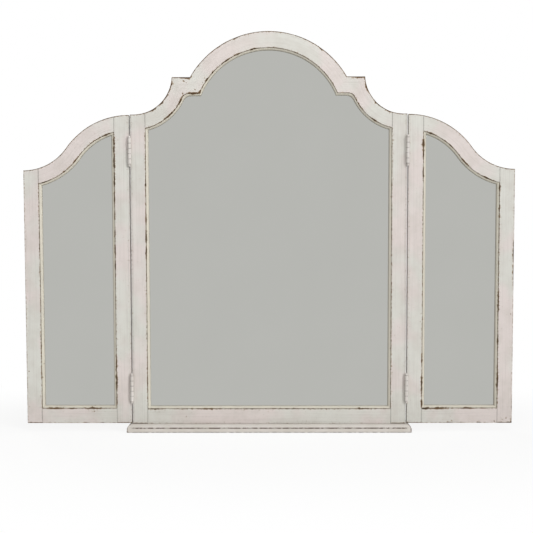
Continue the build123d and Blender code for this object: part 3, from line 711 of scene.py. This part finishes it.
def lined_paint(name, light, dark, ink, heights, half, ends=False):
    """Paint with dark broken lines at given heights: the share falls from 1 on the line to 0 at
    half its width, times noise of 9 mm and 2.5 mm. With ends it also paints shade on the outer
    part of the round at both ends of the plinth, by the distance from the axis of its 8.5 mm
    round, and the upper line stops 6 mm short of that."""
    material, tree, plug = fresh(name, Specular_IOR_Level=0.35)
    where = add(tree, "TexCoord", out="Object")
    clouds = add(tree, "TexNoise", {"Vector": where, "Scale": 26, "Detail": 3, "Roughness": 0.6})
    patches = add(tree, "TexNoise", {"Vector": where, "Scale": 110, "Detail": 2})
    crumbs = add(tree, "TexNoise", {"Vector": where, "Scale": 400, "Detail": 3, "Roughness": 0.65})
    share = add(tree, "MapRange", {0: clouds, 1: 0.3, 2: 0.7}, **EASED)
    coat = add(tree, "Mix", {0: share, 6: colour(light), 7: colour(dark)}, **BETWEEN)
    z = add(tree, "SeparateXYZ", {0: where}, "Z")
    line = 0.0
    # With ends: painted shade on the outer part of the round at each end of the plinth.
    if ends:
        x = add(tree, "SeparateXYZ", {0: where}, "X")
        x = add(tree, "Math", {0: x}, operation="ABSOLUTE")
        corner = add(tree, "CombineXYZ", {0: x, 1: z})
        corner = add(tree, "VectorMath", {0: corner, 1: (ROUND_X, ROUND_Z, 0)}, operation="SUBTRACT")
        corner = add(tree, "VectorMath", {0: corner, 1: (0, 0, 0)}, operation="MAXIMUM")
        off = add(tree, "VectorMath", {0: corner}, "Value", operation="LENGTH")
        off = add(tree, "MapRange", {0: off, 1: 0.0058, 2: 0.0080}, **EASED)
        past = add(tree, "MapRange", {0: x, 1: ROUND_X, 2: ROUND_X + 0.0025}, **EASED)
        line = add(tree, "Math", {0: off, 1: past}, **TIMES)
    for height in heights:
        off = add(tree, "Math", {0: z, 1: height / 1000}, operation="SUBTRACT")
        off = add(tree, "Math", {0: off}, operation="ABSOLUTE")
        off = add(tree, "MapRange", {0: off, 1: half / 1000, 2: 0.2 * half / 1000}, **EASED)
        if ends and height > half:
            short = add(tree, "MapRange", {0: x, 1: ROUND_X, 2: ROUND_X - 0.006}, **EASED)
            off = add(tree, "Math", {0: off, 1: short}, **TIMES)
        line = add(tree, "Math", {0: line, 1: off}, operation="MAXIMUM")
    ragged = add(tree, "Math", {0: crumbs, 1: 0.6, 2: 0.0}, **TIMES_PLUS)
    ragged = add(tree, "Math", {0: patches, 1: 0.9, 2: ragged}, **TIMES_PLUS)
    broken = add(tree, "MapRange", {0: ragged, 1: 0.66, 2: 0.80, 3: 0.26}, **EASED)
    dark_line = add(tree, "Math", {0: line, 1: broken}, **TIMES)
    seen = add(tree, "Mix", {0: dark_line, 6: coat, 7: colour(ink)}, **BETWEEN)
    sheen = add(tree, "Math", {0: clouds, 1: 0.16, 2: 0.42}, **TIMES_PLUS)
    bump = add(tree, "Bump", {"Height": crumbs, "Distance": 0.00008, "Strength": 0.8})
    plug(Base_Color=seen, Roughness=sheen, Normal=bump)
    return material


# Plinth: the same eggshell paint, with a broken brown line where the step of its moulding is rubbed, a
# broken dark line of painted contact shadow along its foot, and painted shade round its ends.
# Heights of the lines: 0.2 mm is the painted contact shadow at the foot, 11.3 mm the rubbed step.
plinth_lines = [0.2, 11.3]
plinth_paint = lined_paint(
    "plinth_eggshell_paint", "#D5CFC9", "#CEC8C0", "#44280F", plinth_lines, 2.0, ends=True)
# Hinges: steel painted over with the frame, dark in the joints between the knuckles.
BARREL = 65
KNUCKLES = 5
PLAY = 0.3
knuckle_pitch = (BARREL - (KNUCKLES - 1) * PLAY) / KNUCKLES + PLAY
hinge_feet = [PLINTH_TOP + middle - BARREL / 2 for middle in (692, 91)]
knuckle_joints = [
    foot + step * knuckle_pitch - PLAY / 2 for foot in hinge_feet for step in range(KNUCKLES + 1)]
hinge_paint = lined_paint("painted_hinge_steel", "#D9D4CF", "#CFC9C3", "#6A6058", knuckle_joints, 0.9)


def silvered_glass():
    """Silvered float glass: polished metal with a grey-green cast and a trace of dust."""
    material, tree, plug = fresh("silvered_float_glass", Metallic=1.0)
    where = add(tree, "TexCoord", out="Object")
    cast = add(tree, "TexNoise", {"Vector": where, "Scale": 6})
    dust = add(tree, "TexNoise", {"Vector": where, "Scale": 900})
    tint = add(tree, "Mix", {0: cast, 6: colour("#F0F2EE"), 7: colour("#ECEEEA")}, **BETWEEN)
    sheen = add(tree, "Math", {0: dust, 1: 0.012, 2: 0.004}, **TIMES_PLUS)
    plug(Base_Color=tint, Roughness=sheen)
    return material


def hardboard():
    """Brown hardboard: pressed fibres about 1 mm long, matt, mottled over some centimetres."""
    material, tree, plug = fresh("pressed_hardboard", Roughness=0.78)
    where = add(tree, "TexCoord", out="Object")
    mottle = add(tree, "TexNoise", {"Vector": where, "Scale": 18, "Detail": 3})
    fibre = add(tree, "TexNoise", {"Vector": where, "Scale": 900, "Detail": 4, "Roughness": 0.7})
    base = add(tree, "Mix", {0: mottle, 6: colour("#7A5A3C"), 7: colour("#6A4B31")}, **BETWEEN)
    share = add(tree, "MapRange", {0: fibre, 1: 0.3, 2: 0.9, 4: 0.6})
    base = add(tree, "Mix", {0: share, 6: base, 7: colour("#A07E58")}, **BETWEEN)
    bump = add(tree, "Bump", {"Height": fibre, "Distance": 0.0001, "Strength": 0.7})
    plug(Base_Color=base, Normal=bump)
    return material


def plated(name, bright, dark, scale, rough):
    """Plated steel: spangles in two greys, and a roughness that follows them."""
    material, tree, plug = fresh(name, Metallic=1.0)
    where = add(tree, "TexCoord", out="Object")
    spangle = add(tree, "TexVoronoi", {"Vector": where, "Scale": scale}, "Color")
    share = add(tree, "SeparateXYZ", {0: spangle}, "X")
    base = add(tree, "Mix", {0: share, 6: colour(bright), 7: colour(dark)}, **BETWEEN)
    sheen = add(tree, "Math", {0: share, 1: 0.12, 2: rough}, **TIMES_PLUS)
    plug(Base_Color=base, Roughness=sheen)
    return material


mirror_glass = silvered_glass()
back_board = hardboard()
# Zinc-plated brace: soft grey with spangles of about 2 mm.
brace_zinc = plated("zinc_plated_steel", "#C3C5C6", "#A9ACAE", 450, 0.38)
# Screws: bright zinc, its grain much finer.
screw_zinc = plated("bright_zinc", "#CFCFCB", "#B4B4AE", 1500, 0.3)

finishes = (
    ("mirror_glass", mirror_glass), ("back_panel", back_board), ("brace", brace_zinc),
    ("leaf_screws", hinge_paint), ("leaf", hinge_paint), ("hinge_pin", hinge_paint),
    ("screws", screw_zinc), ("base_plinth", plinth_paint), ("", furniture_paint),
)
for node, thing in nodes.items():
    thing.data.materials.clear()
    thing.data.materials.append(next(finish for ending, finish in finishes if node.endswith(ending)))


# Centre frame

for hand, side in ((-1, "left"), (1, "right")):
    stile(f"centre_{side}_stile", "centre", hand * HALF_WIDTH, -hand, PLINTH_TOP, over_cove,
          cove_side_top, rubbed=-0.1, seed=3 + hand, gap_shade=0.30)
    upright = rise(lambda a: hand * (HALF_WIDTH - a), lambda a: PLINTH_TOP + a, cove_side_top)
    bead(f"centre_{side}_bead", "centre", [(upright, shares(700))], 13 + hand)
inside = HALF_WIDTH - FACE
crest = crest_path(lambda a: inside + 0 * a, SEAM)
rail("centre_crest_rail", "centre", crest, rubbed=0.68, seed=5)
across = level(lambda a: 0 * a - inside, lambda a: 0 * a + inside, PLINTH_TOP)
rail("centre_bottom_rail", "centre", [(across, shares(2 * inside, SEAM, SEAM))], rubbed=-0.15, seed=6)
bead("centre_top_bead", "centre", crest_path(lambda a: HALF_WIDTH - a), 7)
across = level(lambda a: a - HALF_WIDTH, lambda a: HALF_WIDTH - a, PLINTH_TOP)
bead("centre_bottom_bead", "centre", [(across, shares(2 * inside))], 8)

# Wings

for hand, wing in ((-1, "left_wing"), (1, "right_wing")):
    inner, outer = hand * WING_IN, hand * WING_OUT
    seed = 40 + 10 * hand
    opening = WING_WIDTH - 2 * FACE
    stile(f"{wing}_inner_stile", wing, inner, hand, WING_BOTTOM, over_crown,
          crown_side_top, rubbed=-0.1, seed=seed, gap_shade=0.10)
    stile(f"{wing}_outer_stile", wing, outer, -hand, WING_BOTTOM, over_hollow,
          hollow_side_top, rubbed=0.2, seed=seed + 1)
    over = wing_top_path(hand, lambda a: FACE + 0 * a, SEAM)
    rail(f"{wing}_top_rail", wing, over, rubbed=0.58, seed=seed + 2)
    first, last = inner + hand * FACE, outer - hand * FACE
    across = level(lambda a: first + 0 * a, lambda a: last + 0 * a, WING_BOTTOM)
    rail(f"{wing}_bottom_rail", wing, [(across, shares(opening, SEAM, SEAM))], rubbed=0.22, seed=seed + 3)
    by_hinge = rise(lambda a: inner + hand * a, lambda a: WING_BOTTOM + a, crown_side_top)
    by_edge = rise(lambda a: outer - hand * a, lambda a: WING_BOTTOM + a, hollow_side_top)
    bead(f"{wing}_inner_bead", wing, [(by_hinge, shares(700))], seed + 4)
    bead(f"{wing}_outer_bead", wing, [(by_edge, shares(560))], seed + 5)
    bead(f"{wing}_top_bead", wing, wing_top_path(hand, lambda a: a), seed + 6)
    across = level(lambda a: inner + hand * a, lambda a: outer - hand * a, WING_BOTTOM)
    bead(f"{wing}_bottom_bead", wing, [(across, shares(opening))], seed + 7)


# Studio: pale floor, white background, grey room in front for the glass to reflect

def studio_floor():
    """Pale floor 12 m wide. Beside the mirror it takes faint shadows; the camera sees plain white by
    a share that grows from 0.86 at 0.3 m to 1 at 1.1 m away. It lies a hair under the plinth."""
    half = 6.0
    corners = [(-half, -half, 0), (half, -half, 0), (half, half, 0), (-half, half, 0)]
    mesh = bpy.data.meshes.new("studio_floor")
    mesh.from_pydata(corners, [], [(0, 1, 2, 3)])
    floor = bpy.data.objects.new("studio_floor", mesh)
    bpy.context.scene.collection.objects.link(floor)
    floor.location.z = -0.0004
    floor.visible_glossy = False
    material = bpy.data.materials.new("matt_white_floor")
    material.use_nodes = True
    tree = material.node_tree
    tree.nodes.clear()
    where = add(tree, "TexCoord", out="Object")
    flat = add(tree, "Mapping", {0: where, 3: (0.7, 1.0, 1.0)})
    away = add(tree, "VectorMath", {0: flat}, "Value", operation="LENGTH")
    far = add(tree, "MapRange", {0: away, 1: 0.30, 2: 1.1, 3: 0.86}, **EASED)
    seen = add(tree, "LightPath", out="Is Camera Ray")
    share = add(tree, "Math", {0: far, 1: seen}, **TIMES)
    matt = add(tree, "BsdfDiffuse", {"Color": colour("#FAFAF8")})
    white = add(tree, "Emission", {"Color": (1, 1, 1, 1), "Strength": 1.0})
    both = add(tree, "MixShader", {0: share, 1: matt, 2: white})
    add(tree, "OutputMaterial", {"Surface": both})
    mesh.materials.append(material)


def studio_world(light):
    """White to the camera and through glass. Glossy rays meet white behind the mirror and a plain
    grey room in front of it, by the ray's direction. All other rays get soft even light."""
    world = bpy.data.worlds.new("studio")
    bpy.context.scene.world = world
    world.use_nodes = True
    tree = world.node_tree
    tree.nodes.clear()
    ray = add(tree, "TexCoord", out="Generated")
    towards = add(tree, "SeparateXYZ", {0: ray}, "Y")
    front = add(tree, "MapRange", {0: towards, 1: 0.35, 2: -0.15}, **EASED)
    room = add(tree, "Mix", {0: front, 6: (1, 1, 1, 1), 7: (0.550, 0.543, 0.534, 1)}, **BETWEEN)
    seen = add(tree, "LightPath", out="Is Camera Ray")
    through = add(tree, "LightPath", out="Is Transmission Ray")
    glossy = add(tree, "LightPath", out="Is Glossy Ray")
    plain = add(tree, "Math", {0: seen, 1: through}, operation="MAXIMUM")
    even = add(tree, "Background", {"Color": (1, 1, 1, 1), "Strength": light})
    mirrored_room = add(tree, "Background", {"Color": room, "Strength": 1.0})
    white = add(tree, "Background", {"Color": (1, 1, 1, 1), "Strength": 1.0})
    lit = add(tree, "MixShader", {0: glossy, 1: even, 2: mirrored_room})
    both = add(tree, "MixShader", {0: plain, 1: lit, 2: white})
    add(tree, "OutputWorld", {"Surface": both})


def soft_lamp(name, kind, place, energy, **settings):
    """Lamp that looks from its place to the middle of the glass."""
    lamp = bpy.data.lights.new(name, kind)
    lamp.energy = energy
    for key, value in settings.items():
        setattr(lamp, key, value)
    holder = bpy.data.objects.new(name, lamp)
    bpy.context.scene.collection.objects.link(holder)
    holder.location = place
    way = Vector((0, 0, 0.5)) - Vector(place)
    holder.rotation_euler = way.to_track_quat("-Z", "Y").to_euler()


def camera(distance, height, pitch, yaw, roll, aside, lens, shift_y):
    """Camera in front of the glass, turned down by pitch, right by yaw and clockwise by roll."""
    eye = bpy.data.cameras.new("camera")
    eye.lens = lens
    eye.sensor_width = 36
    eye.shift_y = shift_y
    eye.clip_start = 0.05
    eye.clip_end = 60
    holder = bpy.data.objects.new("camera", eye)
    bpy.context.scene.collection.objects.link(holder)
    place = Matrix.Translation((aside, -distance, height))
    turn = Matrix.Rotation(-yaw, 4, "Z") @ Matrix.Rotation(math.pi / 2 - pitch, 4, "X")
    holder.matrix_world = place @ turn @ Matrix.Rotation(roll, 4, "Z")
    bpy.context.scene.camera = holder


studio_floor()
studio_world(0.321)
soft_lamp("window_light", "SUN", (3.5, -3.7, 1.7), 1.30, angle=math.radians(10))
soft_lamp("far_window_light", "SUN", (-1.6, 3.4, 2.4), 0.7, angle=math.radians(20))
soft_lamp("ceiling_light", "AREA", (0.35, -1.65, 2.5), 24, size=1.0)
camera(distance=2.8, height=0.454339, pitch=0.0702645, yaw=-0.0119937, roll=-0.0023176,
       aside=0.027297, lens=73.8816, shift_y=0.12)
bpy.context.scene.view_settings.view_transform = "Standard"
